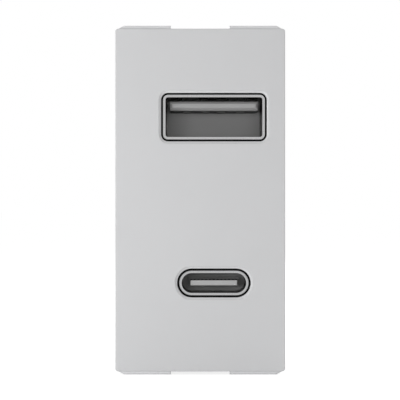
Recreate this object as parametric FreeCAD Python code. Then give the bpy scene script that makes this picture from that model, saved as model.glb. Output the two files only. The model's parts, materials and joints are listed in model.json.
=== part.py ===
import FreeCAD, Part
import math
import os

from FreeCAD import Vector

# Single-module wall charger insert with a USB-A and a USB-C socket.
# Millimetres. X to the right, Y into the wall, Z up.
# The origin is the centre of the plain front face.

# Face and flange
FACE_W = 21.9
FACE_H = 44.2
FACE_CORNER_R = 0.4
FACE_EDGE_R = 0.15
FACE_T = 2.0
FLANGE_W = 21.9
FLANGE_H = 45.0
FLANGE_SETBACK = 0.3
FLANGE_T = 1.6
FLANGE_EDGE_R = 0.25
TAB_CUT_X = 1.1
TAB_CUT_Z = 0.6
NOTCH_W = 7.6

# Skirt behind the flange, its lip inside the housing and its latches
SKIRT_W = 21.0
SKIRT_H = 41.2
SKIRT_CORNER_R = 1.2
SKIRT_WALL = 1.4
SKIRT_LEN = 7.5
LIP_T = 0.8
LIP_ROOT = 1.0
LIP_CLEAR = 0.1
LATCH_W = 6.4
LATCH_SLOT = 0.4
LATCH_HOOK_W = 5.4
LATCH_HOOK = 1.0
LATCH_HOOK_LEN = 3.6
FRAME_SHEET = 1.6
BARB_W = 3.6
BARB_LEN = 1.4
BARB_OUT = 0.5
BARB_Z = 15.8
BARB_SETBACK = 1.8
SEAM_BEVEL = 0.2
RIB_OUT = 0.3
RIB_W = 1.2
RIB_Z = 8.6
RIB_RAMP = 1.6

# Port openings in the face
PORT_X = 1.77
PORT_PITCH = 21.4
PORT_CLEAR = 0.25
MOUTH_BEVEL = 0.3
COLLAR_WALL = 0.8
COLLAR_LEN = 2.2
SEAL_FIT = 0.02
SEAL_SETBACK = 1.3
SEAL_LEN = 1.4

# USB-A receptacle
A_INNER_W = 12.5
A_INNER_H = 5.12
A_SHEET = 0.32
A_CORNER_R = 0.65
A_SETBACK = 0.3
A_TONGUE_W = 11.4
A_TONGUE_T = 1.16
A_TONGUE_TOP_GAP = 0.52
A_TONGUE_SETBACK = 1.1
A_TONGUE_NOSE = 0.28
A_TONGUE_LEAD = 0.37
A_TONGUE_LEAD_LEN = 0.6
A_BACK_T = 2.2
A_FIT = 0.05
A_CONTACT_W = 1.0
A_CONTACT_T = 0.25
A_CONTACT_INNER_X = 1.0
A_CONTACT_OUTER_X = 3.5
A_CONTACT_SETBACK = 3.6
A_LEG_W = 1.3
A_LEG_Z = 1.4
A_SPRING_W = 2.2
A_SPRING_LEN = 5.0
A_SPRING_X = 3.1
A_SPRING_SLOT = 0.35
A_SPRING_SETBACK = 4.6
A_SPRING_BEND = 0.04

# USB-C receptacle
C_OUTER_W = 9.0
C_OUTER_H = 3.24
C_SHEET = 0.34
C_SETBACK = 0.35
C_TONGUE_W = 6.05
C_TONGUE_T = 0.7
C_TONGUE_SETBACK = 0.8
C_TONGUE_NOSE = 0.12
C_ROOT_W = 6.7
C_ROOT_T = 1.2
C_ROOT_LEN = 1.3
C_CAVITY = 6.5
C_FIT = 0.04
C_PLATE_W = 5.8
C_PLATE_T = 0.12
C_PLATE_SETBACK = 0.5
C_CONTACT_COUNT = 12
C_CONTACT_PITCH = 0.5
C_CONTACT_W = 0.25
C_CONTACT_T = 0.14
C_CONTACT_SETBACK = 0.6
C_LEG_W = 0.8

# Boards
PORT_BOARD_T = 1.0
BOARD_CLEAR = 0.1
RECEPTACLE_LEN = 14.1
POWER_BOARD_T = 1.6
POWER_BOARD_GAP = 0.45
BOARD_TAB_OUT = 0.7
BOARD_TAB_W = 3.2
BOARD_TAB_PITCH = 15.6
SLOT_CLEAR = 0.1
LEG_OUT = 0.6

# Housing
HOUSING_WALL = 1.0
HOUSING_LEDGE = 0.6
HOUSING_BACK = 1.2
HOUSING_NARROWING = 0.25
RAIL_H = 1.2
RAIL_T = 0.6
RAIL_CLEAR = 0.1
SHELF_T = 1.0
FIELD_DEPTH = 0.2
FIELD_MARGIN = 2.4
FIELD_CORNER_R = 0.8

# Terminal block and one pole of it
BLOCK_DEPTH = 11.2
BLOCK_PROUD = 1.0
BLOCK_DROP = 0.3
BLOCK_SIDE_CLEAR = 0.1
BLOCK_FLOOR = 1.2
BLOCK_BACK = 2.0
EAR_OUT = 0.6
EAR_W = 1.6
EAR_INSET = 4.2
POLE_PITCH = 8.2
CHAMBER_W = 6.0
DRIVER_WALL = 1.3
DRIVER_HOLE_R = 2.0
HEAD_R = 2.3
HEAD_H = 1.8
HEAD_GAP = 0.1
HEAD_SLOT_W = 0.8
HEAD_SLOT_DEPTH = 1.0
SCREW_R = 1.45
THREAD_R = 1.5
TIP_GAP = 0.05
CAGE_W = 5.6
CAGE_LEN = 5.0
CAGE_WALL = 0.8
CAGE_NUT_T = 1.8
CAGE_FLOOR = 1.0
CAGE_TRAVEL = 3.0
CAGE_GAP = 0.15
CAGE_CLEAR = 0.3
CHAMBER_FLOOR_GAP = 0.2
WIRE_SPACE = 3.8
WIRE_ENTRY_R = 1.9
WIRE_FUNNEL = 0.6
MARK_DEPTH = 0.3
MARK_H = 2.8
MARK_W = 1.9
MARK_STROKE = 0.45
MARK_ABOVE_WIRE = 5.6
BAR_T = 0.8
BAR_W = 3.4
BAR_WIDE_CLEAR = 0.05
BAR_GROOVE = 0.4
BAR_GROOVE_LEN = 3.0
BAR_NECK = 1.8
BAR_TAIL_W = 1.4
BAR_TAIL_STEP = 3.0
BAR_REAR_GAP = 0.2
LINE_TAIL_AHEAD = 2.8

# Parts on the boards
LEAD_R = 0.3
LEAD_OUT = 0.7
LEAD_CLEAR = 0.1
SEAT_GAP = 0.1
BOARD_AISLE = 1.1
INPUT_CAP_R = 4.0
INPUT_CAP_H = 12.0
INPUT_CAP_GAP = 0.3
INPUT_CAP_PITCH = 3.5
CAP_SLEEVE_RIM = 0.4
CAP_GROOVE = 0.3
OUTPUT_CAP_R = 2.5
OUTPUT_CAP_H = 8.0
OUTPUT_CAP_PITCH = 2.0
OUTPUT_CAP_Z = (-8.6, -14.6)
CHOKE_R = 2.5
CHOKE_H = 8.0
CHOKE_FLANGE = 0.9
CHOKE_PITCH = 3.5
CHOKE_Z = 7.2
CHOKE_WIRE_GAP = 0.3
FUSE_SIZE = (7.2, 6.8, 4.4)
FUSE_EDGE_R = 0.4
FUSE_PITCH = 5.0
FUSE_Z = 15.8
CORE_W = 11.0
CORE_LEN = 12.4
CORE_T = 5.6
CORE_BACK = 2.6
CORE_LEG = CORE_W * 0.18
CORE_MIDDLE = CORE_W * 0.255
CORE_GAP = 0.3
BOBBIN_WALL = 0.5
BOBBIN_FLANGE_T = 0.7
BOBBIN_H = 10.4
BOBBIN_CLEAR = 0.1
WINDING_INSET = 0.35
PIN_PITCH = 2.5
PIN_COUNT = 3
PIN_RAIL_H = 0.8
TRANSFORMER_Z = -12.0
BRIDGE_SIZE = (3.9, 3.6, 1.4)
BRIDGE_LEAD_COUNT = 2
BRIDGE_BELOW_CHOKE = 3.6
PRIMARY_SIZE = (4.9, 3.4, 1.4)
PRIMARY_LEAD_COUNT = 4
SYNC_SIZE = (4.0, 3.6, 1.4)
SYNC_LEAD_COUNT = 3
CHIP_LEAD_T = 0.2
CHIP_LEAD_W = 0.4
CHIP_LEAD_PITCH = 1.27
CHIP_FOOT = 0.5
CHIP_STANDOFF = 0.1
PORT_CHIP_W = 4.0
FLAT_CHIP_H = 0.9
FLAT_CHIP_EDGE = 0.1
PORT_CAP_SIZE = (1.25, 2.0)
PORT_CAP_X = 4.2
PORT_CAP_Z = 2.2
SAFETY_CAP_SIZE = (1.6, 5.6, 3.6)
SAFETY_CAP_EDGE = 0.2
SHEET_T = 0.2
SHEET_BEND = 0.6
SHEET_MARGIN = 0.2

# Places that follow from the sizes above, along Y
FLANGE_FRONT = FLANGE_SETBACK
FLANGE_REAR = FLANGE_FRONT + FLANGE_T
HOUSING_FRONT = FLANGE_REAR + SKIRT_LEN
PORT_BOARD_FRONT = A_SETBACK + RECEPTACLE_LEN
PORT_BOARD_REAR = PORT_BOARD_FRONT + PORT_BOARD_T

# The power board is as long as the longer of its two rows of parts, and the housing holds it
TRANSFORMER_ROW = BOARD_AISLE + 2 * OUTPUT_CAP_R + CORE_GAP + CORE_W + SEAT_GAP
INPUT_CAP_ROW = BOARD_AISLE + 4 * INPUT_CAP_R + SEAT_GAP
BOARD_REAR = PORT_BOARD_REAR + max(TRANSFORMER_ROW, INPUT_CAP_ROW)
INNER_REAR = BOARD_REAR + BOARD_CLEAR + SHEET_T
HOUSING_REAR = INNER_REAR + HOUSING_BACK
BLOCK_REAR = HOUSING_REAR + BLOCK_PROUD
BLOCK_FRONT = BLOCK_REAR - BLOCK_DEPTH
CHAMBER_REAR = BLOCK_REAR - BLOCK_BACK
SCREW_Y = CHAMBER_REAR - CAGE_CLEAR - CAGE_LEN / 2
BOARD_STEP_Y = BLOCK_FRONT - 3 * BOARD_CLEAR

# Half widths and heights of the skirt and the housing's two inner steps
HALF_W = SKIRT_W / 2
HALF_H = SKIRT_H / 2
WIDE_X = HALF_W - HOUSING_WALL
WIDE_Z = HALF_H - HOUSING_WALL
INNER_X = WIDE_X - HOUSING_LEDGE
INNER_Z = WIDE_Z - HOUSING_LEDGE
LIP_X = WIDE_X - LIP_CLEAR
LIP_Z = WIDE_Z - LIP_CLEAR

# Ports
A_Z = PORT_PITCH / 2
C_Z = -PORT_PITCH / 2
A_OUTER_W = A_INNER_W + 2 * A_SHEET
A_OUTER_H = A_INNER_H + 2 * A_SHEET
A_FLOOR_Y = PORT_BOARD_FRONT - A_BACK_T
A_TONGUE_TOP = A_Z + A_INNER_H / 2 - A_TONGUE_TOP_GAP
A_TONGUE_BOTTOM = A_TONGUE_TOP - A_TONGUE_T
C_INNER_W = C_OUTER_W - 2 * C_SHEET
C_INNER_H = C_OUTER_H - 2 * C_SHEET
C_TONGUE_FRONT = C_SETBACK + C_TONGUE_SETBACK
C_FLOOR_Y = C_SETBACK + C_CAVITY

# Power board, to the left of the receptacles
POWER_BOARD_RIGHT = PORT_X - A_OUTER_W / 2 - POWER_BOARD_GAP
POWER_BOARD_LEFT = POWER_BOARD_RIGHT - POWER_BOARD_T
POWER_BOARD_Z = INNER_Z - 2 * BOARD_CLEAR

# Terminal pole, from the top down
BLOCK_TOP = HALF_H - BLOCK_DROP
CHAMBER_TOP = BLOCK_TOP - DRIVER_WALL
HEAD_TOP = CHAMBER_TOP - HEAD_GAP
HEAD_BOTTOM = HEAD_TOP - HEAD_H
CAGE_TOP = HEAD_BOTTOM - CAGE_GAP - CAGE_TRAVEL
NUT_BOTTOM = CAGE_TOP - CAGE_NUT_T
BAR_TOP = NUT_BOTTOM - CAGE_GAP
BAR_BOTTOM = BAR_TOP - BAR_T
WIRE_FLOOR = BAR_BOTTOM - WIRE_SPACE
CAGE_BOTTOM = WIRE_FLOOR - CAGE_FLOOR
CHAMBER_BOTTOM = CAGE_BOTTOM - CHAMBER_FLOOR_GAP
BLOCK_BOTTOM = CHAMBER_BOTTOM - BLOCK_FLOOR
WIRE_Z = (BAR_BOTTOM + WIRE_FLOOR) / 2
SHELF_TOP = BLOCK_BOTTOM
SHELF_BOTTOM = SHELF_TOP - SHELF_T
BLOCK_HALF_W = INNER_X - BLOCK_SIDE_CLEAR
EAR_Y = BLOCK_REAR - EAR_INSET

# Places of the parts on the power board, as (y, z)
INPUT_CAP_Z = SHELF_BOTTOM - RAIL_H / 2 - INPUT_CAP_R - 2 * BOARD_CLEAR
INPUT_CAP_Y = BOARD_REAR - INPUT_CAP_R
INPUT_CAPS = [
    (INPUT_CAP_Y, INPUT_CAP_Z),
    (INPUT_CAP_Y - 2 * INPUT_CAP_R - SEAT_GAP, INPUT_CAP_Z),
]
TRANSFORMER_Y = BOARD_REAR - CORE_W / 2 - SEAT_GAP
OUTPUT_CAP_Y = TRANSFORMER_Y - CORE_W / 2 - CORE_GAP - OUTPUT_CAP_R
OUTPUT_CAPS = [(OUTPUT_CAP_Y, z) for z in OUTPUT_CAP_Z]
CHOKE_Y = PORT_BOARD_REAR + CHOKE_R + BOARD_AISLE
FUSE_Y = BOARD_STEP_Y - FUSE_SIZE[1] / 2 - 2 * BOARD_CLEAR
BRIDGE_PLACE = (CHOKE_Y, CHOKE_Z - BRIDGE_BELOW_CHOKE)
CONTROLLER_PLACE = (INPUT_CAP_Y - INPUT_CAP_R, INPUT_CAP_Z)
SYNC_PLACE = (OUTPUT_CAP_Y, sum(OUTPUT_CAP_Z) / 2)
SAFETY_CAP_PLACE = (TRANSFORMER_Y, TRANSFORMER_Z)
BAR_Z = (BAR_TOP + BAR_BOTTOM) / 2
LINE_TAIL_Y = BLOCK_FRONT - LINE_TAIL_AHEAD
NEUTRAL_TAIL_Y = LINE_TAIL_Y - BAR_TAIL_STEP


def block(x, y, z):
    """Box from three (low, high) pairs."""
    size = [high - low for low, high in (x, y, z)]
    return Part.makeBox(*size, Vector(x[0], y[0], z[0]))


def same(one, other):
    """True for two places that coincide."""
    return abs(one - other) < 1e-6


def about(middle, width):
    """The (low, high) pair of a width about its middle."""
    return (middle - width / 2, middle + width / 2)


def fused(shapes):
    """One solid from shapes that touch or overlap."""
    shapes = list(shapes)
    return shapes[0].multiFuse(shapes[1:]).removeSplitter()


def rounded_outline(centre, width, height, radius, y):
    """Closed wire of a rounded rectangle that faces along Y; full radii give round ends."""
    x_mid, z_mid = centre
    corners = []
    for turn, (sign_x, sign_z) in enumerate([(1, 1), (-1, 1), (-1, -1), (1, -1)]):
        hub = (x_mid + sign_x * (width / 2 - radius), z_mid + sign_z * (height / 2 - radius))
        points = []
        for step in range(3):
            angle = math.pi / 2 * (turn + step / 2)
            reach = (hub[0] + radius * math.cos(angle), hub[1] + radius * math.sin(angle))
            points.append(Vector(reach[0], y, reach[1]))
        corners.append(points)
    edges = []
    for points, following in zip(corners, corners[1:] + corners[:1]):
        edges.append(Part.Arc(*points).toShape())
        if not same(points[2].distanceToPoint(following[0]), 0):
            edges.append(Part.LineSegment(points[2], following[0]).toShape())
    return Part.Wire(edges)


def rounded_prism(centre, width, height, radius, y):
    """Solid rounded rectangle between two depths."""
    outline = rounded_outline(centre, width, height, radius, y[0])
    return Part.Face(outline).extrude(Vector(0, y[1] - y[0], 0))


def profile_prism(points, direction):
    """Solid from a closed polygon pushed along a vector."""
    return Part.Face(Part.makePolygon(points + points[:1])).extrude(direction)


def fillet_where(shape, radius, chosen):
    """Round the edges whose middle point and shape pass the test."""
    edges = [edge for edge in shape.Edges if chosen(edge, edge.CenterOfMass)]
    return shape.makeFillet(radius, edges)


def runs_along_y(edge):
    """True for a straight edge that runs front to back."""
    direction = edge.Vertexes[-1].Point - edge.Vertexes[0].Point
    straight = edge.Curve.TypeId == "Part::GeomLine"
    return straight and same(direction.x, 0) and same(direction.z, 0)


# Front cover

def face_plate():
    """The plain face, down through the flange."""
    plate = rounded_prism((0, 0), FACE_W, FACE_H, FACE_CORNER_R, (0, FLANGE_REAR))
    return fillet_where(plate, FACE_EDGE_R, lambda edge, middle: same(middle.y, 0))


def flange():
    """Sheet behind the face that reaches past its ends, with cut corners."""
    half_w = FLANGE_W / 2
    half_h = FLANGE_H / 2
    outline = []
    for sign_x, sign_z in [(1, 1), (-1, 1), (-1, -1), (1, -1)]:
        upper = Vector(sign_x * (half_w - TAB_CUT_X), FLANGE_FRONT, sign_z * half_h)
        lower = Vector(sign_x * half_w, FLANGE_FRONT, sign_z * (half_h - TAB_CUT_Z))
        outline += [lower, upper] if sign_x == sign_z else [upper, lower]
    sheet = profile_prism(outline, Vector(0, FLANGE_T, 0))
    return fillet_where(
        sheet, FLANGE_EDGE_R, lambda edge, middle: same(middle.y, FLANGE_FRONT)
    )


def flange_reliefs():
    """Cutters that leave four seat tabs: a notch at each end and a step along each side."""
    y = (FLANGE_FRONT, FLANGE_REAR)
    cutters = []
    for sign in (1, -1):
        beyond = sorted((sign * HALF_H, sign * FLANGE_H))
        beside = sorted((sign * HALF_W, sign * FLANGE_W))
        cutters.append(block(about(0, NOTCH_W), y, beyond))
        cutters.append(block(beside, y, (-HALF_H, HALF_H)))
    return cutters


def skirt():
    """Solid behind the flange, with the smaller lip that goes into the housing."""
    corner = SKIRT_CORNER_R
    body = rounded_prism((0, 0), SKIRT_W, SKIRT_H, corner, (FLANGE_FRONT, HOUSING_FRONT))
    body = body.makeChamfer(
        SEAM_BEVEL, [edge for edge in body.Edges if same(edge.CenterOfMass.y, HOUSING_FRONT)]
    )
    lip = rounded_prism(
        (0, 0), 2 * LIP_X, 2 * LIP_Z, corner - LIP_CLEAR, (HOUSING_FRONT, PORT_BOARD_FRONT - A_FIT)
    )
    return body.fuse(lip)


def skirt_hollow():
    """The space inside the skirt and its lip."""
    corner = SKIRT_CORNER_R / 2
    pocket = rounded_prism(
        (0, 0), SKIRT_W - 2 * SKIRT_WALL, SKIRT_H - 2 * SKIRT_WALL, corner,
        (FACE_T, HOUSING_FRONT - LIP_ROOT),
    )
    throat = rounded_prism(
        (0, 0), 2 * (LIP_X - LIP_T), 2 * (LIP_Z - LIP_T), corner, (FACE_T, PORT_BOARD_FRONT)
    )
    return pocket.fuse(throat)


def port_opening(centre, width, height, radius):
    """Cutter for one port: a straight throat with a bevelled mouth."""
    width += 2 * PORT_CLEAR
    height += 2 * PORT_CLEAR
    radius = min(radius + PORT_CLEAR, height / 2)
    throat = rounded_prism(centre, width, height, radius, (0, FACE_T + COLLAR_LEN))
    wide = 2 * MOUTH_BEVEL
    mouth = Part.makeLoft(
        [
            rounded_outline(centre, width + wide, height + wide, radius + MOUTH_BEVEL, 0),
            rounded_outline(centre, width, height, radius, MOUTH_BEVEL),
        ],
        True,
        True,
    )
    return throat.fuse(mouth)


def port_collar(centre, width, height, radius):
    """Wall behind the face that guides one receptacle."""
    grown = 2 * (PORT_CLEAR + COLLAR_WALL)
    radius = min(radius + grown / 2, (height + grown) / 2)
    return rounded_prism(
        centre, width + grown, height + grown, radius, (FACE_T / 2, FACE_T + COLLAR_LEN)
    )


def port_seal(centre, width, height, radius):
    """Soft ring in the slit between a receptacle and its opening."""
    y = (SEAL_SETBACK, SEAL_SETBACK + SEAL_LEN)
    near = SEAL_FIT
    far = PORT_CLEAR - SEAL_FIT
    outer = rounded_prism(centre, width + 2 * far, height + 2 * far, radius + far, y)
    return outer.cut(rounded_prism(centre, width + 2 * near, height + 2 * near, radius + near, y))


def latch(sign):
    """Hook of one frame latch: a catch that faces the flange and a ramp that faces the wall."""
    catch_y = FLANGE_REAR + FRAME_SHEET
    z = [sign * (HALF_H - SKIRT_WALL / 2), sign * (HALF_H + LATCH_HOOK), sign * HALF_H]
    flat = LATCH_HOOK / 3
    points = [
        Vector(-LATCH_HOOK_W / 2, catch_y, z[0]),
        Vector(-LATCH_HOOK_W / 2, catch_y, z[1]),
        Vector(-LATCH_HOOK_W / 2, catch_y + flat, z[1]),
        Vector(-LATCH_HOOK_W / 2, catch_y + LATCH_HOOK_LEN, z[2]),
        Vector(-LATCH_HOOK_W / 2, catch_y + LATCH_HOOK_LEN, z[0]),
    ]
    return profile_prism(points, Vector(LATCH_HOOK_W, 0, 0))


def latch_slots(sign):
    """Cutter that frees one latch arm on both sides and at its front end."""
    z = sorted((sign * (HALF_H - 2 * SKIRT_WALL), sign * (HALF_H + SKIRT_WALL)))
    rear = HOUSING_FRONT - LIP_ROOT
    cutters = [
        block(about(side * (LATCH_W + LATCH_SLOT) / 2, LATCH_SLOT), (FLANGE_REAR, rear), z)
        for side in (1, -1)
    ]
    front = block(about(0, LATCH_W + LATCH_SLOT), (FLANGE_REAR, FLANGE_REAR + LATCH_SLOT), z)
    return fused(cutters + [front])


def barb(side, z_mid):
    """Snap on the lip's side, with a ramp towards the housing."""
    front = HOUSING_FRONT + BARB_SETBACK
    points = [
        Vector(side * (LIP_X - LIP_T / 2), front, z_mid - BARB_W / 2),
        Vector(side * (LIP_X + BARB_OUT), front, z_mid - BARB_W / 2),
        Vector(side * LIP_X, front + BARB_LEN, z_mid - BARB_W / 2),
        Vector(side * (LIP_X - LIP_T / 2), front + BARB_LEN, z_mid - BARB_W / 2),
    ]
    return profile_prism(points, Vector(0, 0, BARB_W))


def side_rib(side, z_mid):
    """Rib on the skirt's side that centres it in the frame, with a ramp towards the wall."""
    outer = side * (HALF_W + RIB_OUT)
    inner = side * (HALF_W - SKIRT_WALL / 2)
    z = z_mid - RIB_W / 2
    points = [
        Vector(inner, FLANGE_FRONT, z),
        Vector(outer, FLANGE_FRONT, z),
        Vector(outer, HOUSING_FRONT - RIB_RAMP, z),
        Vector(side * HALF_W, HOUSING_FRONT - SEAM_BEVEL, z),
        Vector(inner, HOUSING_FRONT - SEAM_BEVEL, z),
    ]
    return profile_prism(points, Vector(0, 0, RIB_W))


A_PORT = ((PORT_X, A_Z), A_OUTER_W, A_OUTER_H, A_CORNER_R)
C_PORT = ((PORT_X, C_Z), C_OUTER_W, C_OUTER_H, C_OUTER_H / 2)
PORTS = [A_PORT, C_PORT]
RIBS = [(side, up * RIB_Z) for side in (1, -1) for up in (1, -1)]
BARBS = [(side, up * BARB_Z) for side in (1, -1) for up in (1, -1)]


def front_cover():
    """Face, flange, skirt, ribs, latches and snaps in one moulding."""
    cover = fused([face_plate(), flange(), skirt()]).cut(flange_reliefs() + [skirt_hollow()])
    cover = fused([cover] + [port_collar(*port) for port in PORTS])
    for port in PORTS:
        cover = cover.cut(port_opening(*port))
    for sign in (1, -1):
        cover = cover.fuse(latch(sign)).cut(latch_slots(sign))
    ribs = [side_rib(*place) for place in RIBS]
    return fused([cover] + ribs + [barb(*place) for place in BARBS])


# Housing

def housing():
    """Rear shell: a tapered cup with a ledge, board rails and a shelf for the terminals."""
    sections = [
        (2 * SEAM_BEVEL, HOUSING_FRONT),
        (0, HOUSING_FRONT + SEAM_BEVEL),
        (2 * HOUSING_NARROWING, HOUSING_REAR),
    ]
    outlines = [
        rounded_outline((0, 0), SKIRT_W - less, SKIRT_H - less, SKIRT_CORNER_R, y)
        for less, y in sections
    ]
    shell = Part.makeLoft(outlines, True, True)
    shell = shell.makeChamfer(
        HOUSING_BACK / 2,
        [edge for edge in shell.Edges if same(edge.CenterOfMass.y, HOUSING_REAR)],
    )
    wide = rounded_prism(
        (0, 0), 2 * WIDE_X, 2 * WIDE_Z, SKIRT_CORNER_R, (HOUSING_FRONT, PORT_BOARD_REAR)
    )
    inner = rounded_prism(
        (0, 0), 2 * INNER_X, 2 * INNER_Z, SKIRT_CORNER_R, (HOUSING_FRONT, INNER_REAR)
    )
    shell = shell.cut(wide.fuse(inner))
    shelf = block(
        about(0, 2 * INNER_X + HOUSING_WALL),
        (BLOCK_FRONT - BOARD_CLEAR, INNER_REAR + HOUSING_BACK / 2),
        (SHELF_BOTTOM, SHELF_TOP),
    )
    shell = shell.fuse(shelf)
    shell = shell.cut(
        block(about(0, 2 * INNER_X), (BLOCK_FRONT - BOARD_CLEAR, BLOCK_REAR), (SHELF_TOP, SKIRT_H))
    )
    for side in (1, -1):
        reach = sorted((side * (INNER_X - EAR_OUT), side * (BLOCK_HALF_W + EAR_OUT + BOARD_CLEAR)))
        groove = block(reach, about(EAR_Y, EAR_W + 2 * BOARD_CLEAR), (SHELF_TOP, SKIRT_H))
        shell = shell.cut(groove)
    for side, z_mid in BARBS:
        front = HOUSING_FRONT + BARB_SETBACK - BOARD_CLEAR
        window = block(
            sorted((side * INNER_X, side * SKIRT_W)),
            (front, front + BARB_LEN + 3 * BOARD_CLEAR),
            about(z_mid, BARB_W + 4 * BOARD_CLEAR),
        )
        shell = shell.cut(window)
    for field in housing_fields():
        shell = shell.cut(field)
    return fused([shell] + board_rails())


def housing_fields():
    """Cutters for the shallow sunk fields on both sides and on the back."""
    side_x = HALF_W - HOUSING_NARROWING - FIELD_DEPTH
    y = (PORT_BOARD_REAR + FIELD_MARGIN, HOUSING_REAR - FIELD_MARGIN)
    z = (-HALF_H + 2 * FIELD_MARGIN, SHELF_BOTTOM)
    fields = []
    for side in (1, -1):
        field = block(sorted((side * side_x, side * SKIRT_W)), y, z)
        middle_x = side * (side_x + SKIRT_W) / 2
        along_x = [edge for edge in field.Edges if same(edge.CenterOfMass.x, middle_x)]
        fields.append(field.makeFillet(FIELD_CORNER_R, along_x))
    middle = (0, (z[0] + z[1]) / 2)
    width = 2 * (HALF_W - FIELD_MARGIN)
    back_y = (HOUSING_REAR - FIELD_DEPTH, BLOCK_REAR)
    fields.append(rounded_prism(middle, width, z[1] - z[0], FIELD_CORNER_R, back_y))
    return fields


def board_rails():
    """Pairs of ribs on the floor and under the shelf that hold the power board's edges."""
    gap = POWER_BOARD_T / 2 + RAIL_CLEAR + RAIL_T / 2
    middle = (POWER_BOARD_LEFT + POWER_BOARD_RIGHT) / 2
    rails = []
    for side in (1, -1):
        x = about(middle + side * gap, RAIL_T)
        y = (PORT_BOARD_REAR + RAIL_H, INNER_REAR)
        rails.append(block(x, y, (-INNER_Z - HOUSING_WALL / 2, -INNER_Z + RAIL_H)))
        y = (BLOCK_FRONT + RAIL_H, INNER_REAR)
        rails.append(block(x, y, (SHELF_BOTTOM - RAIL_H / 2, SHELF_BOTTOM + SHELF_T / 2)))
    return rails


# Terminal block, bars, cages and screws

def pole_x(side):
    """Middle of one pole: -1 is line, 1 is neutral."""
    return side * POLE_PITCH / 2


def pole_mark(side):
    """Cutter for a pole's letter on the back, L or N as read from behind."""
    x_mid = pole_x(side)
    z_low = WIRE_Z + MARK_ABOVE_WIRE
    left = -MARK_W / 2
    right = MARK_W / 2
    upright = [(0, 0), (MARK_STROKE, 0), (MARK_STROKE, MARK_H), (0, MARK_H)]
    strokes = [[(left + across, up) for across, up in upright]]
    if side < 0:
        strokes.append([(left, 0), (right, 0), (right, MARK_STROKE), (left, MARK_STROKE)])
    else:
        strokes.append([(right - across, up) for across, up in upright])
        strokes.append(
            [(left, MARK_H), (left + MARK_STROKE, MARK_H), (right, 0), (right - MARK_STROKE, 0)]
        )
    depth = Vector(0, 2 * MARK_DEPTH, 0)
    prisms = [
        profile_prism([Vector(x_mid - x, BLOCK_REAR - MARK_DEPTH, z_low + z) for x, z in stroke], depth)
        for stroke in strokes
    ]
    return fused(prisms)


def terminal_block():
    """Moulded body with two chambers that open towards the boards."""
    body = block(
        about(0, 2 * BLOCK_HALF_W), (BLOCK_FRONT, BLOCK_REAR), (BLOCK_BOTTOM, BLOCK_TOP)
    )
    body = fillet_where(
        body,
        BLOCK_FLOOR / 3,
        lambda edge, middle: same(middle.y, BLOCK_REAR),
    )
    ears = block(
        about(0, 2 * (BLOCK_HALF_W + EAR_OUT)), about(EAR_Y, EAR_W), (BLOCK_BOTTOM, CHAMBER_TOP)
    )
    body = body.fuse(ears)
    for side in (1, -1):
        x = pole_x(side)
        chamber = block(
            about(x, CHAMBER_W), (BLOCK_FRONT, CHAMBER_REAR), (CHAMBER_BOTTOM, CHAMBER_TOP)
        )
        groove = block(
            about(x, CHAMBER_W + 2 * BAR_GROOVE),
            (BLOCK_FRONT, BLOCK_FRONT + BAR_GROOVE_LEN),
            about(BAR_Z, BAR_T + 2 * BAR_WIDE_CLEAR),
        )
        driver = Part.makeCylinder(
            DRIVER_HOLE_R, DRIVER_WALL, Vector(x, SCREW_Y, CHAMBER_TOP)
        )
        inward = Vector(0, -1, 0)
        entry = Part.makeCylinder(WIRE_ENTRY_R, BLOCK_BACK, Vector(x, BLOCK_REAR, WIRE_Z), inward)
        funnel = Part.makeCone(
            WIRE_ENTRY_R + WIRE_FUNNEL, WIRE_ENTRY_R, WIRE_FUNNEL, Vector(x, BLOCK_REAR, WIRE_Z), inward
        )
        for cutter in (chamber, groove, driver, entry, funnel, pole_mark(side)):
            body = body.cut(cutter)
    return body.removeSplitter()


def terminal_bar(side):
    """Flat brass strip: the clamped end, a wider end in the grooves and a tail to the board."""
    x = pole_x(side)
    z = (BAR_BOTTOM, BAR_TOP)
    tail_y = LINE_TAIL_Y if side < 0 else NEUTRAL_TAIL_Y
    wide_w = CHAMBER_W + 2 * (BAR_GROOVE - BAR_WIDE_CLEAR)
    groove_end = BLOCK_FRONT + BAR_GROOVE_LEN - BAR_WIDE_CLEAR
    tongue = block(about(x, BAR_W), (groove_end - BAR_GROOVE, CHAMBER_REAR - BAR_REAR_GAP), z)
    wide = block(about(x, wide_w), (BLOCK_FRONT, groove_end), z)
    neck = block(about(x, BAR_NECK), (tail_y - BAR_TAIL_W / 2, BLOCK_FRONT + BAR_T), z)
    tail = block(
        (POWER_BOARD_LEFT - LEAD_OUT, x + BAR_NECK / 2), about(tail_y, BAR_TAIL_W), z
    )
    return fused([tongue, wide, neck, tail])


def terminal_cage(side):
    """Rising cage: a closed loop round the bar, with a tapped wall at its top."""
    x = pole_x(side)
    y = about(SCREW_Y, CAGE_LEN)
    loop = block(about(x, CAGE_W), y, (CAGE_BOTTOM, CAGE_TOP))
    loop = fillet_where(loop, CAGE_WALL / 2, lambda edge, middle: runs_along_y(edge))
    loop = loop.cut(block(about(x, CAGE_W - 2 * CAGE_WALL), y, (WIRE_FLOOR, NUT_BOTTOM)))
    return loop.cut(Part.makeCylinder(THREAD_R, CAGE_NUT_T, Vector(x, SCREW_Y, NUT_BOTTOM)))


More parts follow.
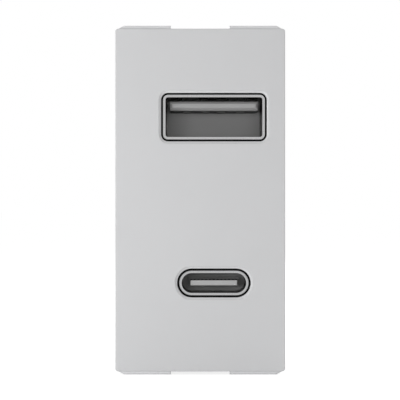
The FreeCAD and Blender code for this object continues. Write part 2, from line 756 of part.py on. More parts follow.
def terminal_screw(side):
    """Captive screw that bears on the bar; its thread is left plain."""
    x = pole_x(side)
    foot = BAR_TOP + TIP_GAP
    shank = Part.makeCylinder(SCREW_R, HEAD_BOTTOM - foot, Vector(x, SCREW_Y, foot))
    head = Part.makeCylinder(HEAD_R, HEAD_H, Vector(x, SCREW_Y, HEAD_BOTTOM))
    head = fillet_where(head, HEAD_H / 6, lambda edge, middle: same(middle.z, HEAD_TOP))
    slot_z = (HEAD_TOP - HEAD_SLOT_DEPTH, HEAD_TOP)
    long_slot = block(about(x, 2 * HEAD_R), about(SCREW_Y, HEAD_SLOT_W), slot_z)
    cross_slot = block(about(x, HEAD_SLOT_W), about(SCREW_Y, 1.3 * HEAD_R), slot_z)
    return fused([shank, head]).cut(fused([long_slot, cross_slot]))


# USB-A receptacle

A_LEGS = [(side, up * A_LEG_Z) for side in (1, -1) for up in (1, -1)]
A_CONTACT_X = [
    PORT_X + side * reach
    for side in (1, -1)
    for reach in (A_CONTACT_INNER_X, A_CONTACT_OUTER_X)
]


def a_leg(side, up, clear):
    """Leg of the shell through the port board, or with a clearance the slot for it."""
    x = PORT_X + side * (A_INNER_W + A_SHEET) / 2
    return block(
        about(x, A_SHEET + 2 * clear),
        (PORT_BOARD_FRONT - clear, PORT_BOARD_REAR + LEG_OUT + clear),
        about(A_Z + up, A_LEG_W + 2 * clear),
    )


def a_spring(side_x, side_z):
    """Slot cutter and bent finger of one contact spring in the broad wall."""
    x = PORT_X + side_x * A_SPRING_X
    wall = A_Z + side_z * (A_INNER_H + A_SHEET) / 2
    y = (A_SETBACK + A_SPRING_SETBACK, A_SETBACK + A_SPRING_SETBACK + A_SPRING_LEN)
    hole = block(
        about(x, A_SPRING_W + 2 * A_SPRING_SLOT), (y[0] - A_SPRING_SLOT, y[1]), about(wall, 2 * A_SHEET)
    )
    bend = side_z * A_SPRING_BEND
    half = side_z * A_SHEET / 2
    points = [
        Vector(x - A_SPRING_W / 2, y[1], wall - half),
        Vector(x - A_SPRING_W / 2, y[0], wall - half - bend),
        Vector(x - A_SPRING_W / 2, y[0], wall + half - bend),
        Vector(x - A_SPRING_W / 2, y[1], wall + half),
    ]
    return hole, profile_prism(points, Vector(A_SPRING_W, 0, 0))


def usb_a_shell():
    """Folded sheet tube with spring fingers and four legs."""
    centre = (PORT_X, A_Z)
    y = (A_SETBACK, PORT_BOARD_FRONT)
    tube = rounded_prism(centre, A_OUTER_W, A_OUTER_H, A_CORNER_R, y)
    tube = tube.cut(
        rounded_prism(centre, A_INNER_W, A_INNER_H, A_CORNER_R - A_SHEET, y)
    )
    legs = [a_leg(side, up, 0) for side, up in A_LEGS]
    tube = fused([tube] + legs)
    for side_x in (1, -1):
        for side_z in (1, -1):
            hole, finger = a_spring(side_x, side_z)
            tube = tube.cut(hole).fuse(finger)
    return tube.removeSplitter()


def a_contact(x, clear):
    """Flat contact under the tongue with its tail, or with a clearance the groove for it."""
    front = A_SETBACK + A_CONTACT_SETBACK
    return block(
        about(x, A_CONTACT_W + 2 * clear),
        (front - clear, PORT_BOARD_REAR + LEG_OUT + clear),
        (A_TONGUE_BOTTOM - clear, A_TONGUE_BOTTOM + A_CONTACT_T + clear),
    )


def usb_a_insulator():
    """Moulded back wall and tongue, with a bevelled nose."""
    width = A_INNER_W - 2 * A_FIT
    height = A_INNER_H - 2 * A_FIT
    back = rounded_prism(
        (PORT_X, A_Z), width, height, A_CORNER_R - A_SHEET, (A_FLOOR_Y, PORT_BOARD_FRONT)
    )
    front = A_SETBACK + A_TONGUE_SETBACK
    left = PORT_X - A_TONGUE_W / 2
    points = [
        Vector(left, front, A_TONGUE_TOP - A_TONGUE_NOSE),
        Vector(left, front + A_TONGUE_NOSE, A_TONGUE_TOP),
        Vector(left, A_FLOOR_Y + A_FIT, A_TONGUE_TOP),
        Vector(left, A_FLOOR_Y + A_FIT, A_TONGUE_BOTTOM),
        Vector(left, front + A_TONGUE_LEAD_LEN, A_TONGUE_BOTTOM),
        Vector(left, front, A_TONGUE_BOTTOM + A_TONGUE_LEAD),
    ]
    tongue = profile_prism(points, Vector(A_TONGUE_W, 0, 0))
    for side in (1, -1):
        edge = PORT_X + side * A_TONGUE_W / 2
        corner = [
            Vector(edge, front, A_TONGUE_BOTTOM),
            Vector(edge - side * A_TONGUE_NOSE, front, A_TONGUE_BOTTOM),
            Vector(edge, front + A_TONGUE_NOSE, A_TONGUE_BOTTOM),
        ]
        tongue = tongue.cut(profile_prism(corner, Vector(0, 0, A_TONGUE_T)))
    body = fused([back, tongue])
    for x in A_CONTACT_X:
        body = body.cut(a_contact(x, A_FIT / 2))
    return body


def usb_a_contacts():
    """Four contacts, the outer two for power and the inner two for data."""
    return Part.makeCompound([a_contact(x, 0) for x in A_CONTACT_X])


# USB-C receptacle

C_CONTACT_X = [
    PORT_X + C_CONTACT_PITCH * (index - (C_CONTACT_COUNT - 1) / 2)
    for index in range(C_CONTACT_COUNT)
]


def c_leg(side, clear):
    """Leg of the round-ended shell through the port board, or the slot for it."""
    x = PORT_X + side * (C_OUTER_W - 1.1 * C_SHEET) / 2
    return block(
        about(x, 0.7 * C_SHEET + 2 * clear),
        (PORT_BOARD_FRONT - 2 * clear, PORT_BOARD_REAR + LEG_OUT + clear),
        about(C_Z, C_LEG_W + 2 * clear),
    )


def usb_c_shell():
    """Drawn tube with round ends and a softened mouth."""
    centre = (PORT_X, C_Z)
    y = (C_SETBACK, PORT_BOARD_FRONT)
    tube = rounded_prism(centre, C_OUTER_W, C_OUTER_H, C_OUTER_H / 2, y)
    tube = fillet_where(
        tube, C_SHEET / 3, lambda edge, middle: same(middle.y, C_SETBACK)
    )
    tube = tube.cut(rounded_prism(centre, C_INNER_W, C_INNER_H, C_INNER_H / 2, y))
    return fused([tube] + [c_leg(side, 0) for side in (1, -1)])


def c_contact(x, side_z, front, rear):
    """One contact strip along the tongue's upper or lower face."""
    face = C_Z + side_z * C_TONGUE_T / 2
    z = sorted((face, face - side_z * C_CONTACT_T))
    return block(about(x, C_CONTACT_W), (front, rear), z)


def c_plate(clear):
    """Steel plate in the middle of the tongue."""
    return block(
        about(PORT_X, C_PLATE_W + 2 * clear),
        (C_TONGUE_FRONT + C_PLATE_SETBACK, PORT_BOARD_FRONT),
        about(C_Z, C_PLATE_T + 2 * clear),
    )


def usb_c_contacts():
    """Contact strips on both faces of the tongue."""
    front = C_TONGUE_FRONT + C_CONTACT_SETBACK
    return Part.makeCompound(
        [
            c_contact(x, side_z, front, PORT_BOARD_FRONT)
            for side_z in (1, -1)
            for x in C_CONTACT_X
        ]
    )


def usb_c_insulator():
    """Moulded base that fills the back of the shell, with the thin tongue and its root."""
    centre = (PORT_X, C_Z)
    width = C_INNER_W - 2 * C_FIT
    height = C_INNER_H - 2 * C_FIT
    base = rounded_prism(centre, width, height, height / 2, (C_FLOOR_Y, PORT_BOARD_FRONT))
    tongue = block(
        about(PORT_X, C_TONGUE_W), (C_TONGUE_FRONT, C_FLOOR_Y + C_FIT), about(C_Z, C_TONGUE_T)
    )
    tongue = fillet_where(
        tongue, C_TONGUE_NOSE, lambda edge, middle: same(middle.y, C_TONGUE_FRONT)
    )
    root = block(
        about(PORT_X, C_ROOT_W), (C_FLOOR_Y - C_ROOT_LEN, C_FLOOR_Y + C_FIT), about(C_Z, C_ROOT_T)
    )
    body = fused([base, tongue, root]).cut(c_plate(0))
    return body.cut(usb_c_contacts())


# Boards

def board_tab(step, clear):
    """Tab of the power board through the port board, or the slot for it."""
    middle = (POWER_BOARD_LEFT + POWER_BOARD_RIGHT) / 2
    return block(
        about(middle, POWER_BOARD_T + 2 * clear),
        (PORT_BOARD_FRONT - BOARD_TAB_OUT - clear, PORT_BOARD_REAR + clear),
        about(step * BOARD_TAB_PITCH, BOARD_TAB_W + 2 * clear),
    )


def port_board():
    """Board across the housing that carries both receptacles."""
    board = block(
        about(0, 2 * (WIDE_X - BOARD_CLEAR)),
        (PORT_BOARD_FRONT, PORT_BOARD_REAR),
        about(0, 2 * (WIDE_Z - BOARD_CLEAR)),
    )
    board = fillet_where(board, SKIRT_CORNER_R, lambda edge, middle: runs_along_y(edge))
    for side, up in A_LEGS:
        board = board.cut(a_leg(side, up, SLOT_CLEAR))
    for side in (1, -1):
        board = board.cut(c_leg(side, SLOT_CLEAR / 2))
    for x in A_CONTACT_X:
        board = board.cut(a_contact(x, SLOT_CLEAR))
    for step in (-1, 0, 1):
        board = board.cut(board_tab(step, SLOT_CLEAR))
    return board


def lead_places():
    """Every lead that goes through the power board, as (y, z)."""
    places = []
    for pitch, caps in ((INPUT_CAP_PITCH, INPUT_CAPS), (OUTPUT_CAP_PITCH, OUTPUT_CAPS)):
        for y, z in caps:
            places += lead_pair(y, z, pitch)
    places += lead_pair(CHOKE_Y, CHOKE_Z, CHOKE_PITCH)
    places += lead_pair(FUSE_Y, FUSE_Z, FUSE_PITCH)
    return places + transformer_pins()


def lead_pair(y, z, pitch):
    """Places of two leads about a part's middle."""
    return [(y - pitch / 2, z), (y + pitch / 2, z)]


def power_board():
    """Board along the left wall, stepped down under the terminal block."""
    top = POWER_BOARD_Z
    step_z = SHELF_BOTTOM - 2 * BOARD_CLEAR
    outline = [
        (PORT_BOARD_REAR, -top),
        (BOARD_REAR, -top),
        (BOARD_REAR, step_z),
        (BOARD_STEP_Y, step_z),
        (BOARD_STEP_Y, top),
        (PORT_BOARD_REAR, top),
    ]
    points = [Vector(POWER_BOARD_LEFT, y, z) for y, z in outline]
    board = profile_prism(points, Vector(POWER_BOARD_T, 0, 0))
    board = fused([board] + [board_tab(step, 0) for step in (-1, 0, 1)])
    for y, z in lead_places():
        hole = Part.makeCylinder(
            LEAD_R + LEAD_CLEAR, POWER_BOARD_T, Vector(POWER_BOARD_LEFT, y, z), Vector(1, 0, 0)
        )
        board = board.cut(hole)
    for tail_y in (LINE_TAIL_Y, NEUTRAL_TAIL_Y):
        slot = block(
            (POWER_BOARD_LEFT, POWER_BOARD_RIGHT),
            about(tail_y, BAR_TAIL_W + 2 * SLOT_CLEAR),
            about(BAR_Z, BAR_T + 2 * SLOT_CLEAR),
        )
        board = board.cut(slot)
    return board


# Parts on the power board

def leads(places, foot):
    """Round leads from a part's foot through the power board."""
    start = POWER_BOARD_LEFT - LEAD_OUT
    return [
        Part.makeCylinder(LEAD_R, foot - start, Vector(start, y, z), Vector(1, 0, 0))
        for y, z in places
    ]


def radial_can(y, z, radius, height, pitch, gap):
    """Can capacitor on two leads, with the rolled groove and the rim of its sleeve."""
    foot = POWER_BOARD_RIGHT + gap
    outline = [
        (0, foot),
        (radius - CAP_SLEEVE_RIM, foot),
        (radius, foot + CAP_SLEEVE_RIM),
        (radius, foot + 3 * CAP_SLEEVE_RIM),
        (radius - CAP_GROOVE, foot + 4 * CAP_SLEEVE_RIM),
        (radius, foot + 5 * CAP_SLEEVE_RIM),
        (radius, foot + height - CAP_SLEEVE_RIM),
        (radius - CAP_SLEEVE_RIM, foot + height),
        (0, foot + height),
    ]
    points = [Vector(x, y + reach, z) for reach, x in outline]
    face = Part.Face(Part.makePolygon(points + points[:1]))
    can = face.revolve(Vector(0, y, z), Vector(1, 0, 0), 360)
    return fused([can] + leads(lead_pair(y, z, pitch), foot + CAP_GROOVE))


def filter_choke():
    """Drum core with its winding between two flanges."""
    foot = POWER_BOARD_RIGHT + SEAT_GAP
    outline = [
        (0, foot),
        (CHOKE_R, foot),
        (CHOKE_R, foot + CHOKE_FLANGE),
        (CHOKE_R - CHOKE_WIRE_GAP, foot + CHOKE_FLANGE),
        (CHOKE_R - CHOKE_WIRE_GAP, foot + CHOKE_H - CHOKE_FLANGE),
        (CHOKE_R, foot + CHOKE_H - CHOKE_FLANGE),
        (CHOKE_R, foot + CHOKE_H),
        (0, foot + CHOKE_H),
    ]
    points = [Vector(x, CHOKE_Y + reach, CHOKE_Z) for reach, x in outline]
    face = Part.Face(Part.makePolygon(points + points[:1]))
    drum = face.revolve(Vector(0, CHOKE_Y, CHOKE_Z), Vector(1, 0, 0), 360)
    return fused([drum] + leads(lead_pair(CHOKE_Y, CHOKE_Z, CHOKE_PITCH), foot + CAP_GROOVE))


def fuse_link():
    """Boxed radial fuse."""
    foot = POWER_BOARD_RIGHT + SEAT_GAP
    height, length, width = FUSE_SIZE
    body = block((foot, foot + height), about(FUSE_Y, length), about(FUSE_Z, width))
    body = body.makeFillet(FUSE_EDGE_R, body.Edges)
    return fused([body] + leads(lead_pair(FUSE_Y, FUSE_Z, FUSE_PITCH), foot + FUSE_EDGE_R))


# Transformer: its winding runs along Z, its pins go into the power board

TRANSFORMER_X = POWER_BOARD_RIGHT + SEAT_GAP + BOBBIN_H / 2
BOBBIN_LEN = CORE_LEN - 2 * CORE_BACK - 2 * BOBBIN_CLEAR
FLANGE_Z = BOBBIN_LEN / 2 - BOBBIN_FLANGE_T / 2
BOBBIN_W = CORE_W - 2 * CORE_LEG - 2 * BOBBIN_CLEAR


def transformer_core(side):
    """E-shaped ferrite half: a back with one middle and two outer legs."""
    far = TRANSFORMER_Z + side * CORE_LEN / 2
    near = TRANSFORMER_Z
    x = about(TRANSFORMER_X, CORE_T)
    back = block(x, about(TRANSFORMER_Y, CORE_W), sorted((far, far - side * CORE_BACK)))
    middle = block(x, about(TRANSFORMER_Y, CORE_MIDDLE), sorted((near, far)))
    outer = [
        block(x, about(TRANSFORMER_Y + hand * (CORE_W - CORE_LEG) / 2, CORE_LEG), sorted((near, far)))
        for hand in (1, -1)
    ]
    return fused([back, middle] + outer)


def transformer_pins():
    """Places of the bobbin's pins."""
    steps = [index - (PIN_COUNT - 1) / 2 for index in range(PIN_COUNT)]
    return [
        (TRANSFORMER_Y + PIN_PITCH * step, TRANSFORMER_Z + side * FLANGE_Z)
        for side in (1, -1)
        for step in steps
    ]


def transformer_bobbin():
    """Spool for the winding, with a rail of pins on each flange."""
    tube_w = CORE_MIDDLE + 2 * (BOBBIN_WALL + BOBBIN_CLEAR)
    tube_h = CORE_T + 2 * (BOBBIN_WALL + BOBBIN_CLEAR)
    z = about(TRANSFORMER_Z, BOBBIN_LEN)
    pieces = [block(about(TRANSFORMER_X, tube_h), about(TRANSFORMER_Y, tube_w), z)]
    for side in (1, -1):
        flange_z = about(TRANSFORMER_Z + side * FLANGE_Z, BOBBIN_FLANGE_T)
        pieces.append(block(about(TRANSFORMER_X, BOBBIN_H), about(TRANSFORMER_Y, BOBBIN_W), flange_z))
    foot = TRANSFORMER_X - BOBBIN_H / 2 + PIN_RAIL_H
    spool = fused(pieces + leads(transformer_pins(), foot))
    hole = block(
        about(TRANSFORMER_X, CORE_T + 2 * BOBBIN_CLEAR),
        about(TRANSFORMER_Y, CORE_MIDDLE + 2 * BOBBIN_CLEAR),
        z,
    )
    return spool.cut(hole)


def transformer_winding():
    """Taped winding on the spool."""
    z = about(TRANSFORMER_Z, BOBBIN_LEN - 2 * BOBBIN_FLANGE_T)
    width = BOBBIN_W - WINDING_INSET
    height = BOBBIN_H - 2 * PIN_RAIL_H
    coil = block(about(TRANSFORMER_X, height), about(TRANSFORMER_Y, width), z)
    round_edges = [edge for edge in coil.Edges if same(edge.CenterOfMass.z, TRANSFORMER_Z)]
    coil = coil.makeFillet(PIN_RAIL_H, round_edges)
    hole = block(
        about(TRANSFORMER_X, CORE_T + 2 * (BOBBIN_WALL + BOBBIN_CLEAR)),
        about(TRANSFORMER_Y, CORE_MIDDLE + 2 * (BOBBIN_WALL + BOBBIN_CLEAR)),
        z,
    )
    return coil.cut(hole)


# Surface-mounted chips: on the left face of the power board

def gull_chip(place, size, count):
    """Chip on the board's left face with leads on both long sides."""
    y, z = place
    length, width, height = size
    base = POWER_BOARD_LEFT - CHIP_STANDOFF
    body = block((base - height, base), about(y, width), about(z, length))
    body = body.makeChamfer(
        height / 8, [edge for edge in body.Edges if same(edge.CenterOfMass.x, base - height)]
    )
    pieces = [body]
    for index in range(count):
        lead_z = z + CHIP_LEAD_PITCH * (index - (count - 1) / 2)
        for side in (1, -1):
            inner = y + side * (width / 2 - CHIP_FOOT / 2)
            outer = y + side * (width / 2 + CHIP_FOOT)
            bend = y + side * (width / 2 + CHIP_LEAD_T)
            waist = base - height / 2
            lead_x = (waist - CHIP_LEAD_T / 2, waist + CHIP_LEAD_T / 2)
            z_span = about(lead_z, CHIP_LEAD_W)
            pieces.append(block(lead_x, sorted((inner, bend)), z_span))
            pieces.append(
                block((lead_x[0], POWER_BOARD_LEFT), sorted((bend - side * CHIP_LEAD_T, bend)), z_span)
            )
            foot_x = (POWER_BOARD_LEFT - CHIP_LEAD_T, POWER_BOARD_LEFT)
            pieces.append(block(foot_x, sorted((bend - side * CHIP_LEAD_T, outer)), z_span))
    return fused(pieces)


def flat_chip(x, y, z, edge):
    """Leadless chip or small capacitor with softened edges."""
    body = block(x, y, z)
    return body.makeChamfer(edge, body.Edges)


def port_controller():
    """Leadless chip on the back of the port board, between the receptacles."""
    y = (PORT_BOARD_REAR, PORT_BOARD_REAR + FLAT_CHIP_H)
    return flat_chip(about(PORT_X, PORT_CHIP_W), y, about(0, PORT_CHIP_W), FLAT_CHIP_EDGE)


def port_capacitors():
    """Small ceramic capacitors beside the port controller."""
    y = (PORT_BOARD_REAR, PORT_BOARD_REAR + FLAT_CHIP_H)
    width, height = PORT_CAP_SIZE
    bodies = [
        flat_chip(
            about(PORT_X + side * PORT_CAP_X, width), y, about(up * PORT_CAP_Z, height), FLAT_CHIP_EDGE
        )
        for side in (1, -1)
        for up in (1, -1)
    ]
    return Part.makeCompound(bodies)


def safety_capacitor():
    """Flat moulded capacitor that bridges the mains and the output side."""
    y, z = SAFETY_CAP_PLACE
    height, width, length = SAFETY_CAP_SIZE
    x = (POWER_BOARD_LEFT - height, POWER_BOARD_LEFT)
    return flat_chip(x, about(y, width), about(z, length), SAFETY_CAP_EDGE)


def insulating_sheet():
    """Folded sheet against the left wall and the back wall."""
    left = -INNER_X
    right = INNER_X - SHEET_MARGIN
    front = PORT_BOARD_REAR + RAIL_H
    bottom = -INNER_Z + RAIL_H + SHEET_MARGIN
    top = SHELF_BOTTOM - RAIL_H

    def folded(inset):
        """The space to the right and front of one face of the fold."""
        reach = block(
            (left + inset, SKIRT_W), (0, INNER_REAR - inset), (bottom - inset, top + inset)
        )
        bend = SHEET_BEND - inset
        return fillet_where(
            reach,
            bend,
            lambda edge, middle: same(middle.x, left + inset)
            and same(middle.y, INNER_REAR - inset),
        )

    kept = block((left, right), (front, INNER_REAR), (bottom, top))
    return folded(0).common(kept).cut(folded(SHEET_T))


def input_capacitor(place):
    """Mains-side electrolytic capacitor."""
    return radial_can(*place, INPUT_CAP_R, INPUT_CAP_H, INPUT_CAP_PITCH, INPUT_CAP_GAP)


def output_capacitor(place):
    """Output-side polymer capacitor."""
    return radial_can(*place, OUTPUT_CAP_R, OUTPUT_CAP_H, OUTPUT_CAP_PITCH, SEAT_GAP)


NODES = {
    "front_cover": front_cover(),
    "housing": housing(),
    "terminal_block": terminal_block(),
    "terminal_bar_line": terminal_bar(-1),
    "terminal_bar_neutral": terminal_bar(1),
    "terminal_cage_line": terminal_cage(-1),
    "terminal_cage_neutral": terminal_cage(1),
    "terminal_screw_line": terminal_screw(-1),
    "terminal_screw_neutral": terminal_screw(1),
    "usb_a_seal": port_seal(*A_PORT),
    "usb_a_shell": usb_a_shell(),
    "usb_a_insulator": usb_a_insulator(),
    "usb_a_contacts": usb_a_contacts(),
    "usb_c_seal": port_seal(*C_PORT),
    "usb_c_shell": usb_c_shell(),
    "usb_c_insulator": usb_c_insulator(),
    "usb_c_mid_plate": c_plate(0),
    "usb_c_contacts": usb_c_contacts(),
    "port_board": port_board(),
    "port_controller": port_controller(),
    "port_capacitors": port_capacitors(),
    "power_board": power_board(),
    "fuse": fuse_link(),
    "filter_choke": filter_choke(),
    "bridge_rectifier": gull_chip(BRIDGE_PLACE, BRIDGE_SIZE, BRIDGE_LEAD_COUNT),
    "primary_controller": gull_chip(CONTROLLER_PLACE, PRIMARY_SIZE, PRIMARY_LEAD_COUNT),
    "sync_rectifier": gull_chip(SYNC_PLACE, SYNC_SIZE, SYNC_LEAD_COUNT),
    "safety_capacitor": safety_capacitor(),
    "transformer_core_upper": transformer_core(1),
    "transformer_core_lower": transformer_core(-1),
    "transformer_bobbin": transformer_bobbin(),
    "transformer_winding": transformer_winding(),
    "insulating_sheet": insulating_sheet(),
}
for number, place in enumerate(INPUT_CAPS, 1):
    NODES[f"input_capacitor_{number}"] = input_capacitor(place)
for number, place in enumerate(OUTPUT_CAPS, 1):
    NODES[f"output_capacitor_{number}"] = output_capacitor(place)

os.makedirs("parts", exist_ok=True)
for name, shape in NODES.items():
    shape.exportStep(f"parts/{name}.step")
    solids = len(shape.Solids)
    print(f"{name}: {solids} solid(s), {shape.Volume:.1f} mm3, valid {shape.isValid()}")
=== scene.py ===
import json
import math

import bmesh
import bpy
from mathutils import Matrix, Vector


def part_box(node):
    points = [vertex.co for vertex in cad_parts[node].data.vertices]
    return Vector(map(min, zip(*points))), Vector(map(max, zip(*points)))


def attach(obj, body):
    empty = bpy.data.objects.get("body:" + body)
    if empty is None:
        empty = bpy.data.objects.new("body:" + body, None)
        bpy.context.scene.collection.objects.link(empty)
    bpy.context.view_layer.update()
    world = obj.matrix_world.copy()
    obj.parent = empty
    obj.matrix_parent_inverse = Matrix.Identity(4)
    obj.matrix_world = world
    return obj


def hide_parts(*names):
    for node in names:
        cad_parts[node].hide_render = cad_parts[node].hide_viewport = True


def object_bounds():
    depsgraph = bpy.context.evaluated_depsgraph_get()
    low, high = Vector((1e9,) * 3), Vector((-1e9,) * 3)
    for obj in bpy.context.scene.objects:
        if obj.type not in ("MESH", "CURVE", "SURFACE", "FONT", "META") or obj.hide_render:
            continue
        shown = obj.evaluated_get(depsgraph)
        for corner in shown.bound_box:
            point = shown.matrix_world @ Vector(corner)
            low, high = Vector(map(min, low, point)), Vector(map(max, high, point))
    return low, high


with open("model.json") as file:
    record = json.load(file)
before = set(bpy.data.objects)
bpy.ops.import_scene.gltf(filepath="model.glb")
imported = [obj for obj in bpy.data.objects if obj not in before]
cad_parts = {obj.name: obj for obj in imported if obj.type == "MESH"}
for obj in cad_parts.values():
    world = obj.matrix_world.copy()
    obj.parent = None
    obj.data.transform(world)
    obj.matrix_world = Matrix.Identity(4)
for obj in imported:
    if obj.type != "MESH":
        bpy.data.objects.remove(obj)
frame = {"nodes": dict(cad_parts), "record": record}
cad_low, cad_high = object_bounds()
scene = bpy.context.scene
nodes = frame["nodes"]

# Lengths are in metres, as the frame's are
MM = 0.001
WHITE = (1, 1, 1, 1)

# The photograph's framing, in a 400-pixel square
PHOTO_PX = 400
PX_PER_MM = 7.76
FACE_CENTRE_PX = (200.2, 200.05)
CAMERA_DISTANCE = 310 * MM
SENSOR_WIDTH = 36.0
CLIP_START = 10 * MM
CLIP_END = 20.0


def make_camera():
    """Camera straight in front of the face, on its middle."""
    width = PHOTO_PX / PX_PER_MM * MM
    data = bpy.data.cameras.new("camera")
    data.sensor_width = SENSOR_WIDTH
    data.lens = SENSOR_WIDTH * CAMERA_DISTANCE / width
    data.clip_start = CLIP_START
    data.clip_end = CLIP_END
    camera = bpy.data.objects.new("camera", data)
    scene.collection.objects.link(camera)
    off_x = (PHOTO_PX / 2 - FACE_CENTRE_PX[0]) / PX_PER_MM * MM
    off_z = (FACE_CENTRE_PX[1] - PHOTO_PX / 2) / PX_PER_MM * MM
    camera.location = (off_x, -CAMERA_DISTANCE, off_z)
    camera.rotation_euler = (math.pi / 2, 0, 0)
    scene.camera = camera


# Node helpers

# Most of a noise texture's values lie between these two
NOISE_SPAN = (0.3, 0.7)

# Radii that ease moulded and metal edges in the shading
PLASTIC_EDGE = 0.08 * MM
METAL_EDGE = 0.04 * MM
EDGE_SAMPLES = 4

# Depth behind the face over which painted light and shade can change a colour
DEPTH_SPAN = 20 * MM


def new_material(name):
    """Material with an empty tree, its output and a principled shader."""
    material = bpy.data.materials.new(name)
    material.use_nodes = True
    tree = material.node_tree
    tree.nodes.clear()
    output = tree.nodes.new("ShaderNodeOutputMaterial")
    shader = tree.nodes.new("ShaderNodeBsdfPrincipled")
    tree.links.new(shader.outputs["BSDF"], output.inputs["Surface"])
    return material, tree, shader


def object_noise(tree, size, detail, stretch=(1, 1, 1)):
    """Noise over the piece's own coordinates, with features about size metres wide."""
    place = tree.nodes.new("ShaderNodeTexCoord")
    mapping = tree.nodes.new("ShaderNodeMapping")
    mapping.inputs["Scale"].default_value = stretch
    noise = tree.nodes.new("ShaderNodeTexNoise")
    noise.inputs["Scale"].default_value = 1 / size
    noise.inputs["Detail"].default_value = detail
    tree.links.new(place.outputs["Object"], mapping.inputs["Vector"])
    tree.links.new(mapping.outputs["Vector"], noise.inputs["Vector"])
    return noise.outputs["Fac"]


def blend_colours(tree, factor, low, high, span=NOISE_SPAN):
    """Colour that runs from low to high with a factor."""
    ramp = tree.nodes.new("ShaderNodeValToRGB")
    first, last = ramp.color_ramp.elements
    first.position, last.position = span
    first.color = (*low, 1)
    last.color = (*high, 1)
    tree.links.new(factor, ramp.inputs["Fac"])
    return ramp.outputs["Color"]


def spread(tree, factor, low, high):
    """Value that runs from low to high with a noise."""
    span = tree.nodes.new("ShaderNodeMapRange")
    span.inputs["From Min"].default_value = NOISE_SPAN[0]
    span.inputs["From Max"].default_value = NOISE_SPAN[1]
    span.inputs["To Min"].default_value = low
    span.inputs["To Max"].default_value = high
    tree.links.new(factor, span.inputs["Value"])
    return span.outputs["Result"]


def add_bump(tree, shader, height, distance, strength=1.0, edge=0.0):
    """Relief of a real depth, in metres, over edges eased by a small radius."""
    bump = tree.nodes.new("ShaderNodeBump")
    bump.inputs["Strength"].default_value = strength
    bump.inputs["Distance"].default_value = distance
    tree.links.new(height, bump.inputs["Height"])
    if edge:
        eased = tree.nodes.new("ShaderNodeBevel")
        eased.samples = EDGE_SAMPLES
        eased.inputs["Radius"].default_value = edge
        tree.links.new(eased.outputs["Normal"], bump.inputs["Normal"])
    tree.links.new(bump.outputs["Normal"], shader.inputs["Normal"])


def paint_light_by_depth(tree, colour, painted_light_stops):
    """Painted light and shade: colour times a share that changes with the depth behind the face:
    (metres, share) pairs.
    """
    place = tree.nodes.new("ShaderNodeTexCoord")
    axes = tree.nodes.new("ShaderNodeSeparateXYZ")
    scale = tree.nodes.new("ShaderNodeMapRange")
    scale.inputs["From Min"].default_value = 0.0
    scale.inputs["From Max"].default_value = DEPTH_SPAN
    ramp = tree.nodes.new("ShaderNodeValToRGB")
    points = ramp.color_ramp.elements
    while len(points) < len(painted_light_stops):
        points.new(0.5)
    for point, (depth, share) in zip(points, painted_light_stops):
        point.position = depth / DEPTH_SPAN
        point.color = (share, share, share, 1)
    mix = tree.nodes.new("ShaderNodeMix")
    mix.data_type = "RGBA"
    mix.blend_type = "MULTIPLY"
    mix.inputs["Factor"].default_value = 1.0
    tree.links.new(place.outputs["Object"], axes.inputs["Vector"])
    tree.links.new(axes.outputs["Y"], scale.inputs["Value"])
    tree.links.new(scale.outputs["Result"], ramp.inputs["Fac"])
    tree.links.new(colour, mix.inputs["A"])
    tree.links.new(ramp.outputs["Color"], mix.inputs["B"])
    return mix.outputs["Result"]


def shaded(colour, amount):
    """A colour made lighter or darker by a share."""
    return tuple(min(1.0, part * (1 + amount)) for part in colour)


# Materials

FLOW_SIZE = 6 * MM
CLOUD_SIZE = 2.5 * MM
DRAWN_LINE_SIZE = 0.12 * MM
PIT_DEPTH = 0.012 * MM
RIPPLE_SIZE = 1.6 * MM
RIPPLE_DEPTH = 0.03 * MM


def moulded(name, colour, roughness, grain=0.09 * MM, depth=0.004 * MM, mottle=0.02,
            specular=0.4, painted_light_stops=None):
    """Moulded plastic: eroded grain from the tool, faint flow mottling."""
    material, tree, shader = new_material(name)
    flow = object_noise(tree, FLOW_SIZE, 3)
    fine = object_noise(tree, grain, 1)
    colour_out = blend_colours(tree, flow, shaded(colour, -mottle), shaded(colour, mottle))
    # Painted light and shade that change with the depth behind the face
    if painted_light_stops:
        colour_out = paint_light_by_depth(tree, colour_out, painted_light_stops)
    rough_out = spread(tree, fine, roughness - 0.04, roughness + 0.04)
    tree.links.new(colour_out, shader.inputs["Base Color"])
    tree.links.new(rough_out, shader.inputs["Roughness"])
    shader.inputs["Specular IOR Level"].default_value = specular
    add_bump(tree, shader, fine, depth, edge=PLASTIC_EDGE)
    return material


def plated(name, colour, roughness, along=(1, 1, 1), depth=0.002 * MM, tarnish=0.06, painted_light_stops=None):
    """Rolled or plated metal: drawn lines along one direction and faint tarnish."""
    material, tree, shader = new_material(name)
    cloud = object_noise(tree, CLOUD_SIZE, 3)
    lines = object_noise(tree, DRAWN_LINE_SIZE, 2, along)
    colour_out = blend_colours(tree, cloud, shaded(colour, -tarnish), shaded(colour, tarnish))
    # Painted light and shade that change with the depth behind the face
    if painted_light_stops:
        colour_out = paint_light_by_depth(tree, colour_out, painted_light_stops)
    rough_out = spread(tree, lines, roughness - 0.05, roughness + 0.07)
    tree.links.new(colour_out, shader.inputs["Base Color"])
    tree.links.new(rough_out, shader.inputs["Roughness"])
    shader.inputs["Metallic"].default_value = 1.0
    add_bump(tree, shader, lines, depth, edge=METAL_EDGE)
    return material


SOLDER_MASK = (0.012, 0.10, 0.045)
MASK_ON_COPPER = (0.02, 0.155, 0.07)
TRACK_SPACING = 2.2 * MM
TRACK_EDGE = (0.42, 0.46)
TRACK_HEIGHT = 0.02 * MM
FIBRE_SIZE = 0.5 * MM


